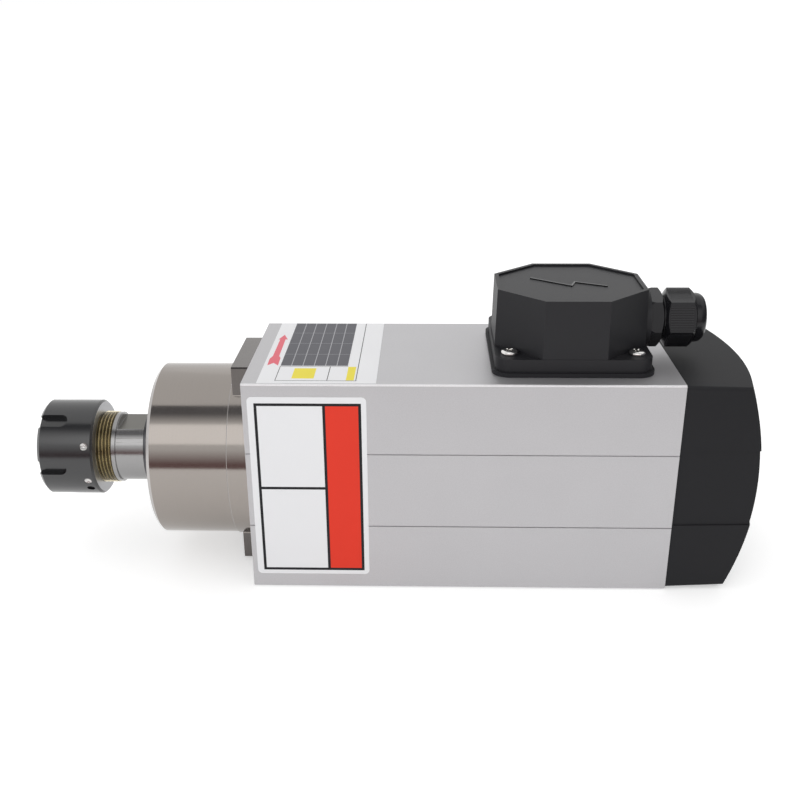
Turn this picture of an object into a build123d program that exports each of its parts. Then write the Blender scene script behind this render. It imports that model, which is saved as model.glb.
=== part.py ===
"""Square air-cooled motor spindle with a collet chuck, a terminal box and a rear fan.

Millimetres. X runs along the rotor axis, the collet end towards -X. Z is up and the
terminal box is on top. The origin is the middle of the flat underside.
"""

from build123d import *
import math
import os

# ---- square aluminium body -----------------------------------------------------------
body_length = 176.4
body_width = 82.0
body_height = 93.0
body_edge_radius = 1.0
axis_height = 47.4
side_groove_width = 0.5
side_groove_depth = 0.5
lower_groove_height = 29.6
upper_groove_height = 62.6
air_channel_radius = 5.5
air_channel_edge_y = 10.0
air_channel_edge_z = 13.0
mounting_hole_radius = 3.0
mounting_hole_depth = 10.0
mounting_spacing_x = 120.0
mounting_spacing_y = 42.0

# ---- clearances ----------------------------------------------------------------------
slip_fit = 0.03
running_fit = 0.05
thread_gap = 0.1
screw_gap = 0.2
labyrinth_gap = 0.3
taper_gap = 0.05
collet_cone_gap = 0.15

# ---- front bearing housing -----------------------------------------------------------
flange_thickness = 9.0
flange_radius = 38.4
flange_chamfer = 0.3
flange_height = 90.3
flange_tab_thickness = 7.4
flange_tab_width = 41.0
flange_tab_chamfer = 0.6
nose_length = 33.9
nose_radius = 37.9
nose_chamfer = 1.6
nose_wall = 5.5
spigot_length = 6.0
spigot_bore_radius = 28.5
tie_bolt_offset_y = 14.0
tie_bolt_offset_z = 38.9
tie_bolt_radius = 2.0
tie_bolt_head_radius = 3.4
tie_bolt_head_height = 3.8

# ---- seal cap ------------------------------------------------------------------------
cap_radius = 23.2
cap_stickout = 6.6
cap_chamfer = 0.8

# ---- bearings ------------------------------------------------------------------------
front_bearing_bore_radius = 15.0
front_bearing_radius = 27.5
front_bearing_width = 13.0
front_bearing_count = 2
rear_bearing_bore_radius = 10.0
rear_bearing_radius = 23.5
rear_bearing_width = 14.0
bearing_ring_wall = 3.5
cage_gap = 0.25
cage_facets = 24
cage_width_share = 0.7
retainer_radius = 31.5
retainer_thickness = 4.0
retainer_bore_radius = 23.0
lock_nut_radius = 21.0
lock_nut_width = 7.0
lock_nut_notch = 5.0
wave_spring_thickness = 1.2
wave_spring_wall = 2.6

# ---- spindle shaft -------------------------------------------------------------------
shaft_radius = 15.0
shaft_exposed_length = 12.9
wrench_flat_across = 24.4
wrench_flat_step = 0.4
collar_radius = 15.7
collar_width = 1.6
chuck_thread_pitch_radius = 15.5
chuck_thread_length = 21.9
chuck_mouth_chamfer = 0.8
labyrinth_land_radius = 16.1
lock_nut_thread_radius = 14.6
rotor_seat_radius = 13.5
rear_shoulder_radius = 12.5
fan_seat_radius = 8.0
fan_seat_length = 18.0
socket_relief_radius = 8.6
socket_relief_length = 6.0

# ---- collet and nut ------------------------------------------------------------------
tool_radius = 6.0
collet_length = 34.0
collet_radius = 13.0
collet_taper_deg = 8.0
collet_cone_deg = 30.0
collet_mouth_radius = 10.5
collet_land = 0.6
collet_groove_width = 2.0
collet_groove_radius = 11.2
collet_slit_width = 0.8
collet_slit_count = 6
collet_slit_first_deg = 18.0
collet_slit_web = 6.0
collet_standout = 7.6
nut_radius = 21.1
nut_length = 24.3
nut_setback = 1.6
nut_chamfer = 0.9
nut_front_chamfer = 1.4
nut_lip_radius = 12.2
nut_slot_count = 6
nut_slot_width = 6.1
nut_slot_length = 12.6
nut_slot_depth = 2.9
nut_slot_first_deg = 34.5
nut_undercut = 1.5
nut_undercut_depth = 0.5
balance_hole_radius = 1.7
balance_hole_depth = 1.2
balance_hole_setback = 3.5
balance_hole_degs = (67, 113, 128)

# ---- motor ---------------------------------------------------------------------------
stator_radius = 34.0
stator_bore_radius = 21.0
stator_length = 90.0
stator_start = 40.0
slot_count = 12
slot_width = 4.0
slot_depth = 6.5
winding_length = 21.0
winding_radius = 32.0
winding_bore_radius = 22.5
winding_facets = 24
air_gap = 0.4
rotor_ring_length = 7.0
rotor_ring_wall = 5.0
lead_hole_radius = 5.0
lead_hole_offset = 145.0

# ---- rear end shield and fan ---------------------------------------------------------
shield_plate = 6.0
shield_hub_length = 10.0
shield_radius = 37.2
shield_tab_half_height = 42.0
shield_shaft_hole_radius = 14.0
shield_back_wall = 2.0
fan_gap = 2.0
fan_hub_radius = 12.5
fan_radius = 34.0
fan_plate = 1.6
fan_blade_height = 11.0
fan_blade_thickness = 1.6
fan_blade_count = 9
fan_clip_thickness = 1.2
fan_clip_radius = 11.0

# ---- rear cover ----------------------------------------------------------------------
cover_depth = 39.0
cover_crown_radius = 125.0
cover_crown_offset = 1.0
cover_sweep_radius = 160.0
cover_inset_front = 0.6
cover_inset_rear = 1.9
cover_corner_radius = 1.5
cover_wall = 2.5
cover_band_recess = 0.5
cover_band_low = 30.6
cover_band_high = 64.3
inlet_slot_width = 3.2
inlet_slot_height = 24.0
inlet_slot_pitch = 6.4
inlet_slot_count = 11
cover_post_radius = 3.7
cover_post_edge_y = 6.0
cover_post_edge_z = 5.9
cover_screw_radius = 1.5
cover_screw_head_radius = 3.0
cover_screw_head_height = 2.4
cover_screw_grip = 17.0
cover_screw_bite = 11.0

# ---- terminal box --------------------------------------------------------------------
box_centre_x = 45.2
box_gasket_thickness = 1.8
box_gasket_overhang = 1.2
box_gasket_border = 9.6
box_flange_length = 63.4
box_flange_width = 62.8
box_flange_height = 5.4
box_corner_radius = 6.0
box_top_height = 31.0
box_top_step = 1.6
box_draft_deg = 1.5
box_wall = 2.5
box_rim_width = 1.8
box_panel_depth = 0.8
box_screw_edge_x = 5.9
box_screw_edge_y = 7.5
box_screw_radius = 2.0
box_screw_head_radius = 3.5
box_screw_head_height = 2.4
box_screw_bite = 7.0
terminal_block_length = 16.0
terminal_block_width = 36.0
terminal_block_height = 7.0
terminal_rib_count = 4
terminal_rib_height = 5.0
terminal_rib_thickness = 1.6
terminal_block_offset = -8.0

# ---- cable gland ---------------------------------------------------------------------
gland_height = 15.6
gland_hex_radius = 12.4
gland_hex_chamfer = 1.6
gland_hex_turned_radius = 9.4
gland_hex_deg = 15.5
gland_boss_radius = 12.0
gland_boss_reach = 33.35
gland_collar_length = 5.8
gland_thread_radius = 9.2
gland_neck_radius = 9.0
gland_bore_radius = 6.5
gland_neck_visible = 0.5
gland_neck_length = 10.2
gland_nut_hex_length = 12.6
gland_nut_length = 17.2
gland_dome_radius = 10.3
gland_dome_edge = 3.4
gland_cable_radius = 4.5
gland_mouth_radius = 5.5
gland_seal_length = 4.4
gland_seal_radius = 8.7
gland_locknut_length = 4.0
gland_locknut_radius = 12.6

# ---- stations along X, worked out from the sizes above -------------------------------
body_front = -body_length / 2
body_rear = body_length / 2
flange_front = body_front - flange_thickness
tab_front = body_front - flange_tab_thickness
nose_front = flange_front - nose_length
cap_front = nose_front - cap_stickout
shoulder_x = nose_front + nose_wall
front_bearing_end = shoulder_x + front_bearing_count * front_bearing_width
lock_nut_end = front_bearing_end + lock_nut_width
retainer_end = front_bearing_end + retainer_thickness
collar_rear = cap_front - shaft_exposed_length
collar_front = collar_rear - collar_width
chuck_face = collar_front - chuck_thread_length
collet_front = chuck_face - collet_standout
collet_rear = collet_front + collet_length
nut_front = collet_front - nut_setback
nut_rear = nut_front + nut_length
stator_front = body_front + stator_start
stator_rear = stator_front + stator_length
shield_rear = body_rear + shield_plate
shield_front = body_rear - shield_hub_length
spring_rear = shield_rear - shield_back_wall
rear_bearing_rear = spring_rear - wave_spring_thickness
rear_bearing_front = rear_bearing_rear - rear_bearing_width
fan_front = shield_rear + fan_gap
fan_rear = fan_front + fan_plate + fan_blade_height
cover_rear = body_rear + cover_depth

# ---- heights -------------------------------------------------------------------------
box_floor = body_height + box_gasket_thickness
box_flange_top = box_floor + box_flange_height
box_top = body_height + box_top_height
box_top_apothem = (box_flange_width - box_top_step) / 2
box_centre = (box_centre_x, 0)
gland_axis_height = body_height + gland_height


# ---- helpers -------------------------------------------------------------------------
def bar_x(radius, start, end, y=0.0, z=axis_height):
    """A round bar along X."""
    bar = Cylinder(radius, end - start, align=(Align.CENTER, Align.CENTER, Align.MIN))
    return Pos(start, y, z) * Rot(0, 90, 0) * bar


def ring_x(radius, bore_radius, start, end):
    """A plain ring round the rotor axis."""
    return bar_x(radius, start, end) - bar_x(bore_radius, start, end)


def turned(profile, height=axis_height):
    """A solid of revolution about the line y=0, z=height, from (x, radius) points."""
    outline = Plane.XZ * Polyline(*profile, close=True)
    return Pos(0, 0, height) * revolve(make_face(outline), Axis.X, 360)


def prism_x(sketch, start, end, y=0.0, z=axis_height):
    """A sketch drawn in the YZ plane, extruded along X."""
    solid = extrude(Plane.YZ * sketch, end - start)
    return Pos(start, y, z) * solid


def about_axis(solid, angle, height=axis_height):
    """A solid turned about the rotor axis, 0 at the top and growing towards -Y."""
    return Pos(0, 0, height) * Rot(angle, 0, 0) * Pos(0, 0, -height) * solid


def round_bar_z(radius, bottom, top, x, y):
    """A round bar along Z."""
    bar = Cylinder(radius, top - bottom, align=(Align.CENTER, Align.CENTER, Align.MIN))
    return Pos(x, y, bottom) * bar


def four_corners(offset_y, offset_z, middle_z):
    """The (y, z) places of a four-corner pattern seen along X."""
    return [(sy * offset_y, middle_z + sz * offset_z) for sy in (-1, 1) for sz in (-1, 1)]


tie_bolt_places = four_corners(tie_bolt_offset_y, tie_bolt_offset_z, axis_height)
cover_post_places = four_corners(
    body_width / 2 - cover_post_edge_y, body_height / 2 - cover_post_edge_z, body_height / 2
)
air_channel_places = four_corners(
    body_width / 2 - air_channel_edge_y, body_height / 2 - air_channel_edge_z, body_height / 2
)
box_screw_reach_x = box_flange_length / 2 - box_screw_edge_x
box_screw_reach_y = box_flange_width / 2 - box_screw_edge_y
box_screw_places = [
    (box_centre_x + sx * box_screw_reach_x, sy * box_screw_reach_y)
    for sx in (-1, 1)
    for sy in (-1, 1)
]


# ---- housing -------------------------------------------------------------------------
def motor_body():
    section = RectangleRounded(body_width, body_height, body_edge_radius)
    body = prism_x(section, body_front, body_rear, z=body_height / 2)
    body -= bar_x(stator_radius + slip_fit, body_front, body_rear)
    for y, z in air_channel_places:
        body -= bar_x(air_channel_radius, body_front, body_rear, y, z)
    for y, z in tie_bolt_places:
        body -= bar_x(tie_bolt_radius + screw_gap, body_front, body_rear, y, z)
    for y, z in cover_post_places:
        body -= bar_x(cover_screw_radius + slip_fit, body_rear - cover_screw_bite, body_rear, y, z)
    for height in (lower_groove_height, upper_groove_height):
        for side in (-1, 1):
            groove = Box(body_length, 2 * side_groove_depth, side_groove_width)
            body -= Pos(0, side * body_width / 2, height) * groove
    for x in (-mounting_spacing_x / 2, mounting_spacing_x / 2):
        for y in (-mounting_spacing_y / 2, mounting_spacing_y / 2):
            body -= round_bar_z(mounting_hole_radius, 0, mounting_hole_depth, x, y)
    for x, y in box_screw_places:
        body -= round_bar_z(box_screw_radius + slip_fit, body_height - box_screw_bite, body_height, x, y)
    lead_x = body_front + lead_hole_offset
    body -= round_bar_z(lead_hole_radius, axis_height, body_height, lead_x, 0)
    return body


def front_bearing_housing():
    bearing_bore = front_bearing_radius + slip_fit
    spigot_radius = stator_radius - slip_fit
    spigot_end = body_front + spigot_length
    hub = turned(
        [
            (nose_front, cap_radius + slip_fit),
            (nose_front, nose_radius - nose_chamfer),
            (nose_front + nose_chamfer, nose_radius),
            (flange_front, nose_radius),
            (flange_front, flange_radius - flange_chamfer),
            (flange_front + flange_chamfer, flange_radius),
            (body_front, flange_radius),
            (body_front, spigot_radius),
            (spigot_end, spigot_radius),
            (spigot_end, retainer_radius + slip_fit),
            (front_bearing_end, retainer_radius + slip_fit),
            (front_bearing_end, bearing_bore),
            (shoulder_x, bearing_bore),
            (shoulder_x, cap_radius + slip_fit),
        ]
    )
    tab = Box(flange_tab_thickness, flange_tab_width, flange_height)
    tab = chamfer(tab.edges().filter_by(Axis.X), flange_tab_chamfer)
    tab = Pos((tab_front + body_front) / 2, 0, axis_height) * tab
    tab -= bar_x(spigot_radius, tab_front, body_front)
    housing = hub + tab
    for y, z in tie_bolt_places:
        housing -= bar_x(tie_bolt_radius + screw_gap, flange_front, body_front, y, z)
        pocket_end = tab_front + tie_bolt_head_height + screw_gap
        housing -= bar_x(tie_bolt_head_radius + screw_gap, flange_front, pocket_end, y, z)
    return housing


def front_seal_cap():
    bore = labyrinth_land_radius + labyrinth_gap
    return turned(
        [
            (cap_front, bore),
            (cap_front, cap_radius - cap_chamfer),
            (cap_front + cap_chamfer, cap_radius),
            (shoulder_x, cap_radius),
            (shoulder_x, bore),
        ]
    )


def tie_bolts():
    bolts = []
    for y, z in tie_bolt_places:
        head_start = tab_front + screw_gap
        head_end = head_start + tie_bolt_head_height
        head = bar_x(tie_bolt_head_radius, head_start, head_end, y, z)
        shank = bar_x(tie_bolt_radius, head_end, shield_rear, y, z)
        bolts.append(head + shank)
    return Compound(bolts)


def rear_end_shield():
    hub_radius = stator_radius - slip_fit
    bore = rear_bearing_radius + slip_fit
    hub = turned(
        [
            (shield_front, bore),
            (shield_front, hub_radius),
            (body_rear, hub_radius),
            (body_rear, shield_radius),
            (shield_rear, shield_radius),
            (shield_rear, shield_shaft_hole_radius),
            (spring_rear, shield_shaft_hole_radius),
            (spring_rear, bore),
        ]
    )
    tab = Box(shield_plate, flange_tab_width, 2 * shield_tab_half_height)
    tab = Pos((body_rear + shield_rear) / 2, 0, axis_height) * tab
    tab -= bar_x(hub_radius, body_rear, shield_rear)
    shield = hub + tab
    for y, z in tie_bolt_places:
        shield -= bar_x(tie_bolt_radius + slip_fit, body_rear, shield_rear, y, z)
    return shield


# ---- bearings ------------------------------------------------------------------------
def bearing_outer(radius, start, end):
    return ring_x(radius, radius - bearing_ring_wall, start, end)


def bearing_inner(bore_radius, start, end):
    return ring_x(bore_radius + bearing_ring_wall, bore_radius + slip_fit, start, end)


def ball_cage(bore_radius, radius, start, end):
    """The ring of balls and cage, drawn as one faceted ring between the two races."""
    outer = radius - bearing_ring_wall - cage_gap
    inner = bore_radius + bearing_ring_wall + cage_gap
    ring = RegularPolygon(outer, cage_facets) - RegularPolygon(inner, cage_facets, major_radius=False)
    margin = (end - start) * (1 - cage_width_share) / 2
    return prism_x(ring, start + margin, end - margin)


def front_bearing_slots():
    """Start and end of each bearing of the front set."""
    return [
        (shoulder_x + i * front_bearing_width, shoulder_x + (i + 1) * front_bearing_width)
        for i in range(front_bearing_count)
    ]


def front_bearing_outer_rings():
    return Compound([bearing_outer(front_bearing_radius, a, b) for a, b in front_bearing_slots()])


def front_bearing_inner_rings():
    return Compound([bearing_inner(front_bearing_bore_radius, a, b) for a, b in front_bearing_slots()])


def front_ball_cages():
    cages = [
        ball_cage(front_bearing_bore_radius, front_bearing_radius, a, b)
        for a, b in front_bearing_slots()
    ]
    return Compound(cages)


def bearing_retainer():
    return ring_x(retainer_radius, retainer_bore_radius, front_bearing_end, retainer_end)


def bearing_lock_nut():
    nut = ring_x(lock_nut_radius, lock_nut_thread_radius + slip_fit, front_bearing_end, lock_nut_end)
    notch = Box(2 * lock_nut_width, lock_nut_notch, lock_nut_notch)
    notch = Pos(front_bearing_end, 0, axis_height + lock_nut_radius) * notch
    for i in range(4):
        nut -= Pos(lock_nut_width, 0, 0) * about_axis(notch, 90 * i + 45)
    return nut


def wave_spring():
    outer = rear_bearing_radius - slip_fit
    return ring_x(outer, outer - wave_spring_wall, rear_bearing_rear, spring_rear)


# ---- motor ---------------------------------------------------------------------------
def stator_core():
    core = ring_x(stator_radius, stator_bore_radius, stator_front, stator_rear)
    cutter = Box(stator_length, slot_width, 2 * slot_depth)
    cutter = Pos((stator_front + stator_rear) / 2, 0, axis_height + stator_bore_radius) * cutter
    for i in range(slot_count):
        core -= about_axis(cutter, 360 / slot_count * i)
    return core


def stator_windings():
    profile = RegularPolygon(winding_radius, winding_facets)
    profile -= RegularPolygon(winding_bore_radius, winding_facets, major_radius=False)
    front = prism_x(profile, stator_front - winding_length, stator_front)
    rear = prism_x(profile, stator_rear, stator_rear + winding_length)
    return Compound([front, rear])


def rotor_core():
    core = ring_x(
        stator_bore_radius - air_gap, rotor_seat_radius + slip_fit, stator_front, stator_rear
    )
    return core


def rotor_end_rings():
    outer = stator_bore_radius - air_gap
    front = ring_x(outer, outer - rotor_ring_wall, stator_front - rotor_ring_length, stator_front)
    rear = ring_x(outer, outer - rotor_ring_wall, stator_rear, stator_rear + rotor_ring_length)
    return Compound([front, rear])


# ---- spindle -------------------------------------------------------------------------
def socket_radius(x):
    """Radius of the chuck's taper socket at station x."""
    taper = math.tan(math.radians(collet_taper_deg))
    start = collet_front + collet_taper_start()
    return collet_radius - (x - start) * taper + taper_gap


def collet_taper_start():
    """Distance from the collet's front face to the wide end of its long taper."""
    cone_length = (collet_radius - collet_mouth_radius) / math.tan(math.radians(collet_cone_deg))
    return cone_length + collet_land + collet_groove_width


def spindle_shaft():
    socket_end = collet_rear + 1.0
    relief_end = socket_end + socket_relief_length
    rotor_seat_end = rear_bearing_front - 8.0
    shaft = turned(
        [
            (chuck_face, socket_radius(chuck_face)),
            (chuck_face, chuck_thread_pitch_radius - chuck_mouth_chamfer),
            (chuck_face + chuck_mouth_chamfer, chuck_thread_pitch_radius),
            (collar_front, chuck_thread_pitch_radius),
            (collar_front, collar_radius),
            (collar_rear, collar_radius),
            (collar_rear, shaft_radius),
            (cap_front, shaft_radius),
            (cap_front, labyrinth_land_radius),
            (shoulder_x, labyrinth_land_radius),
            (shoulder_x, front_bearing_bore_radius),
            (front_bearing_end, front_bearing_bore_radius),
            (front_bearing_end, lock_nut_thread_radius),
            (lock_nut_end, lock_nut_thread_radius),
            (lock_nut_end, rotor_seat_radius),
            (rotor_seat_end, rotor_seat_radius),
            (rotor_seat_end, rear_shoulder_radius),
            (rear_bearing_front, rear_shoulder_radius),
            (rear_bearing_front, rear_bearing_bore_radius),
            (rear_bearing_rear, rear_bearing_bore_radius),
            (rear_bearing_rear, fan_seat_radius),
            (rear_bearing_rear + fan_seat_length, fan_seat_radius),
            (rear_bearing_rear + fan_seat_length, 0),
            (relief_end, 0),
            (relief_end, socket_relief_radius),
            (socket_end, socket_relief_radius),
            (socket_end, socket_radius(socket_end)),
        ]
    )
    flat_start = collar_rear + wrench_flat_step
    flat_length = cap_front - flat_start
    flat_depth = shaft_radius
    for side in (-1, 1):
        middle = axis_height + side * (wrench_flat_across + flat_depth) / 2
        flat = Box(flat_length, 2 * shaft_radius, flat_depth)
        shaft -= Pos(flat_start + flat_length / 2, 0, middle) * flat
    return shaft


def collet():
    cone_length = (collet_radius - collet_mouth_radius) / math.tan(math.radians(collet_cone_deg))
    groove_start = collet_front + cone_length + collet_land
    groove_end = groove_start + collet_groove_width
    taper = math.tan(math.radians(collet_taper_deg))
    rear_radius = collet_radius - (collet_rear - groove_end) * taper
    body = turned(
        [
            (collet_front, tool_radius),
            (collet_front, collet_mouth_radius),
            (collet_front + cone_length, collet_radius),
            (groove_start, collet_radius),
            (groove_start, collet_groove_radius),
            (groove_end, collet_groove_radius),
            (groove_end, collet_radius),
            (collet_rear, rear_radius),
            (collet_rear, tool_radius),
        ]
    )
    slit_length = collet_length - collet_slit_web
    front_slit = Box(slit_length, collet_slit_width, 2 * collet_radius)
    front_slit = Pos(collet_front + slit_length / 2, 0, axis_height + collet_radius) * front_slit
    rear_slit = Pos(collet_slit_web, 0, 0) * front_slit
    step = 360 / collet_slit_count
    for i in range(collet_slit_count):
        body -= about_axis(front_slit, collet_slit_first_deg + step * i)
        body -= about_axis(rear_slit, collet_slit_first_deg + step * (i + 0.5))
    return body


def collet_nut():
    cone_length = (collet_radius - collet_mouth_radius) / math.tan(math.radians(collet_cone_deg))
    groove_start = collet_front + cone_length + collet_land
    lip_start = groove_start + collet_cone_gap
    lip_end = groove_start + collet_groove_width - collet_cone_gap
    thread_start = lip_end + nut_undercut
    thread_bore = chuck_thread_pitch_radius + thread_gap
    nut = turned(
        [
            (nut_front, collet_mouth_radius + collet_cone_gap),
            (nut_front, nut_radius - nut_front_chamfer),
            (nut_front + nut_front_chamfer, nut_radius),
            (nut_rear - nut_chamfer, nut_radius),
            (nut_rear, nut_radius - nut_chamfer),
            (nut_rear, thread_bore),
            (thread_start, thread_bore),
            (thread_start, thread_bore + nut_undercut_depth),
            (lip_end, thread_bore + nut_undercut_depth),
            (lip_end, nut_lip_radius),
            (lip_start, nut_lip_radius),
            (lip_start, collet_radius + collet_cone_gap),
            (collet_front + cone_length, collet_radius + collet_cone_gap),
            (collet_front, collet_mouth_radius + collet_cone_gap),
        ]
    )
    floor = nut_radius - nut_slot_depth
    straight = nut_slot_length - nut_slot_width / 2
    slot = Box(straight, nut_slot_width, nut_radius)
    slot = Pos(nut_front + straight / 2, 0, axis_height + floor + nut_radius / 2) * slot
    slot += round_bar_z(
        nut_slot_width / 2,
        axis_height + floor,
        axis_height + floor + nut_radius,
        nut_front + straight,
        0,
    )
    for i in range(nut_slot_count):
        nut -= about_axis(slot, nut_slot_first_deg + 360 / nut_slot_count * i)
    drill = round_bar_z(
        balance_hole_radius,
        axis_height + nut_radius - balance_hole_depth,
        axis_height + nut_radius + balance_hole_depth,
        nut_rear - balance_hole_setback,
        0,
    )
    for angle in balance_hole_degs:
        nut -= about_axis(drill, angle)
    return nut


# ---- fan and rear cover --------------------------------------------------------------
def cooling_fan():
    hub = ring_x(fan_hub_radius, fan_seat_radius + slip_fit, fan_front, fan_rear)
    plate = ring_x(fan_radius, fan_hub_radius - 1, fan_front, fan_front + fan_plate)
    fan = hub + plate
    blade_reach = fan_radius - fan_hub_radius + 1
    blade = Box(fan_blade_height, fan_blade_thickness, blade_reach)
    blade_x = fan_front + fan_plate + fan_blade_height / 2
    blade = Pos(blade_x, 0, axis_height + fan_radius - blade_reach / 2) * blade
    for i in range(fan_blade_count):
        fan += about_axis(blade, 360 / fan_blade_count * i)
    return fan


def fan_clip():
    return ring_x(fan_clip_radius, fan_seat_radius + slip_fit, fan_rear, fan_rear + fan_clip_thickness)


def cover_block(inset, start=body_rear):
    """The cover's tapered block with its crowned back, drawn smaller by inset all round."""
    front_cut = cover_inset_front + inset
    rear_cut = cover_inset_rear + inset
    corner = cover_corner_radius
    front = RectangleRounded(body_width - 2 * front_cut, body_height - 2 * front_cut, corner)
    rear = RectangleRounded(body_width - 2 * rear_cut, body_height - 2 * rear_cut, corner)
    middle = body_height / 2
    front = Pos(start, 0, middle) * (Plane.YZ * front)
    rear = Pos(cover_rear + 1, 0, middle) * (Plane.YZ * rear)
    block = loft([front, rear])
    return block & crown(inset)


def crown(inset):
    """The back's double curve: an arc seen from the side, swept round an upright axis."""
    sweep_axis_x = cover_rear - cover_sweep_radius
    arc_middle = (cover_rear - inset, axis_height + cover_crown_offset)
    reach = body_height
    drop = cover_crown_radius - math.sqrt(cover_crown_radius**2 - reach**2)
    top = (arc_middle[0] - drop, arc_middle[1] + reach)
    bottom = (arc_middle[0] - drop, arc_middle[1] - reach)
    outline = ThreePointArc(bottom, arc_middle, top)
    outline += Polyline(top, (sweep_axis_x, top[1]), (sweep_axis_x, bottom[1]), bottom)
    face = make_face(Plane.XZ * outline)
    upright = Axis((sweep_axis_x, 0, 0), (0, 0, 1))
    return revolve(face, upright, 360)


def rear_fan_cover():
    outer = cover_block(0)
    cavity = cover_block(cover_wall)
    for y, z in cover_post_places:
        cavity -= bar_x(cover_post_radius, body_rear - 1, cover_rear + 1, y, z)
    cover = outer - cavity
    seat = body_rear + cover_screw_grip
    for y, z in cover_post_places:
        shank_hole = bar_x(cover_screw_radius + screw_gap, body_rear - 1, seat + 1, y, z)
        head_hole = bar_x(cover_screw_head_radius + screw_gap, seat, cover_rear + 1, y, z)
        cover -= shank_hole + head_hole
    band_height = cover_band_high - cover_band_low
    band = Box(3 * cover_depth, 2 * body_width, band_height)
    band = Pos(cover_rear, 0, (cover_band_low + cover_band_high) / 2) * band
    recess = (band & outer) - cover_block(cover_band_recess)
    cover -= recess
    for i in range(inlet_slot_count):
        y = (i - (inlet_slot_count - 1) / 2) * inlet_slot_pitch
        slot = Box(cover_depth, inlet_slot_width, inlet_slot_height)
        cover -= Pos(cover_rear, y, axis_height) * slot
    return cover


def cover_screws():
    screws = []
    seat = body_rear + cover_screw_grip
    for y, z in cover_post_places:
        head = bar_x(cover_screw_head_radius, seat, seat + cover_screw_head_height, y, z)
        shank = bar_x(cover_screw_radius, body_rear - cover_screw_bite, seat, y, z)
        screws.append(head + shank)
    return Compound(screws)


# ---- terminal box --------------------------------------------------------------------
def octagon(apothem, height):
    shape = RegularPolygon(apothem, 8, major_radius=False, rotation=22.5)
    return Pos(box_centre_x, 0, height) * shape


def tapered_octagon(top_apothem, bottom, top):
    growth = (top - bottom) * math.tan(math.radians(box_draft_deg))
    return loft([octagon(top_apothem + growth, bottom), octagon(top_apothem, top)])


def box_plate(length, width, radius, bottom, top):
    plate = extrude(RectangleRounded(length, width, radius), top - bottom)
    return Pos(box_centre_x, 0, bottom) * plate


def terminal_box_gasket():
    overhang = 2 * box_gasket_overhang
    gasket = box_plate(
        box_flange_length + overhang,
        box_flange_width + overhang,
        box_corner_radius + box_gasket_overhang,
        body_height,
        box_floor,
    )
    gasket -= box_plate(
        box_flange_length - 2 * box_gasket_border,
        box_flange_width - 2 * box_gasket_border,
        box_corner_radius,
        body_height,
        box_floor,
    )
    for x, y in box_screw_places:
        gasket -= round_bar_z(box_screw_radius + screw_gap, body_height, box_floor, x, y)
    return gasket


def terminal_box_cover():
    shell = tapered_octagon(box_top_apothem, box_floor, box_top)
    shell += box_plate(
        box_flange_length, box_flange_width, box_corner_radius, box_floor, box_flange_top
    )
    boss_end = box_centre_x + gland_boss_reach
    shell += bar_x(gland_boss_radius, box_centre_x, boss_end, 0, gland_axis_height)
    ceiling = box_top - box_wall - box_panel_depth
    shell -= tapered_octagon(box_top_apothem - box_wall, box_floor, ceiling)
    panel_floor = box_top - box_panel_depth
    panel = extrude(octagon(box_top_apothem - box_rim_width, panel_floor), box_panel_depth)
    shell -= panel
    shell -= bar_x(gland_thread_radius + thread_gap, box_centre_x, boss_end, 0, gland_axis_height)
    for x, y in box_screw_places:
        shell -= round_bar_z(box_screw_radius + screw_gap, box_floor, box_flange_top, x, y)
    return shell


def box_screws():
    screws = []
    for x, y in box_screw_places:
        head = round_bar_z(
            box_screw_head_radius, box_flange_top, box_flange_top + box_screw_head_height, x, y
        )
        shank = round_bar_z(box_screw_radius, body_height - box_screw_bite, box_flange_top, x, y)
        screws.append(head + shank)
    return Compound(screws)


def terminal_block():
    middle_x = box_centre_x + terminal_block_offset
    size = (terminal_block_length, terminal_block_width, terminal_block_height)
    block = Box(*size, align=(Align.CENTER, Align.CENTER, Align.MIN))
    block = Pos(middle_x, 0, body_height) * block
    rib = Box(
        terminal_block_length,
        terminal_rib_thickness,
        terminal_rib_height,
        align=(Align.CENTER, Align.CENTER, Align.MIN),
    )
    pitch = (terminal_block_width - terminal_rib_thickness) / (terminal_rib_count - 1)
    for i in range(terminal_rib_count):
        y = (i - (terminal_rib_count - 1) / 2) * pitch
        block += Pos(middle_x, y, body_height + terminal_block_height) * rib
    return block


# ---- cable gland ---------------------------------------------------------------------
gland_collar_start = box_centre_x + gland_boss_reach
gland_collar_end = gland_collar_start + gland_collar_length
gland_nut_start = gland_collar_end + gland_neck_visible
gland_nut_end = gland_nut_start + gland_nut_length
gland_seal_start = gland_nut_start + gland_neck_length


def hexagon_x(radius, start, end):
    """A hexagonal bar on the gland's axis, a flat tilted up by gland_hex_deg."""
    shape = RegularPolygon(radius, 6, rotation=30 - gland_hex_deg)
    return prism_x(shape, start, end, 0, gland_axis_height)


def turned_hexagon(start, end, front_radius, rear_radius):
    """The gland's hexagon with its ends turned down to the two radii."""
    envelope = [
        (start, 0),
        (start, front_radius),
        (start + gland_hex_chamfer, gland_hex_radius),
        (end - gland_hex_chamfer, gland_hex_radius),
        (end, rear_radius),
        (end, 0),
    ]
    return hexagon_x(gland_hex_radius, start, end) & turned(envelope, gland_axis_height)


def gland_bar(radius, start, end):
    return bar_x(radius, start, end, 0, gland_axis_height)


def inner_wall_x():
    """Where the box's inner wall stands nearest its middle beside the gland's lock nut."""
    top_of_nut = gland_axis_height + gland_locknut_radius
    below_ceiling = box_top - box_wall - box_panel_depth - top_of_nut
    growth = below_ceiling * math.tan(math.radians(box_draft_deg))
    return box_centre_x + box_top_apothem - box_wall + growth


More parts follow.
